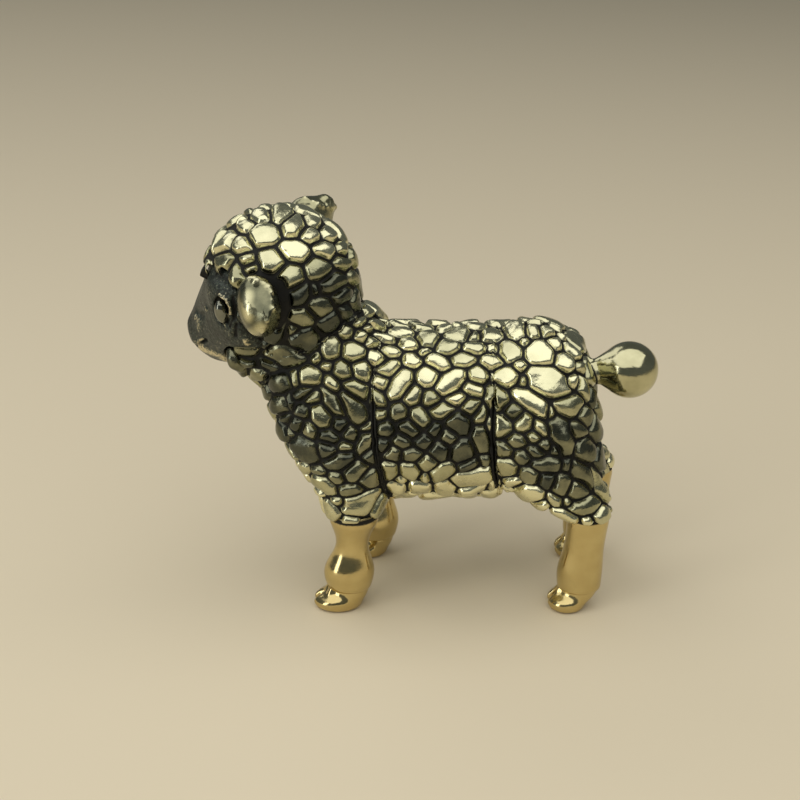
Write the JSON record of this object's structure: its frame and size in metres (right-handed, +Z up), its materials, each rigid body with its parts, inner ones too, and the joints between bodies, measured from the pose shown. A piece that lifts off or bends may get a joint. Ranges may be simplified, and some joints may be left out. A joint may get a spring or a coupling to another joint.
{
  "type": "lamb figurine",
  "caption": "Small standing lamb figurine in antiqued brass, with a cobbled fleece, a dark bare face and a polished ball tail, made to stand on a shelf.",
  "frame": {"origin": "middle of the bounding box in plan, on the ground plane under the hooves", "axes": "+X from the nose towards the tail, +Y towards the right side of the lamb, +Z up"},
  "size_m": [0.048, 0.0214, 0.042],
  "materials": {
    "fleece_brass": "polished cobbles with blackened grooves",
    "polished_brass": "hand polished, worn",
    "blackened_brass": "matte dark patina, fine grain"
  },
  "bodies": {
    "root": {"barrel": "fleece_brass", "head": "fleece_brass", "shoulder_left": "fleece_brass", "shoulder_right": "fleece_brass", "haunch_left": "fleece_brass", "haunch_right": "fleece_brass", "face": "blackened_brass", "eye_left": "blackened_brass", "eye_right": "blackened_brass", "tail": "polished_brass", "ear_left": "polished_brass", "ear_right": "polished_brass", "fore_shank_left": "polished_brass", "fore_hoof_left": "polished_brass", "fore_shank_right": "polished_brass", "fore_hoof_right": "polished_brass", "hind_shank_left": "polished_brass", "hind_hoof_left": "polished_brass", "hind_shank_right": "polished_brass", "hind_hoof_right": "polished_brass"}
  },
  "joints": []
}
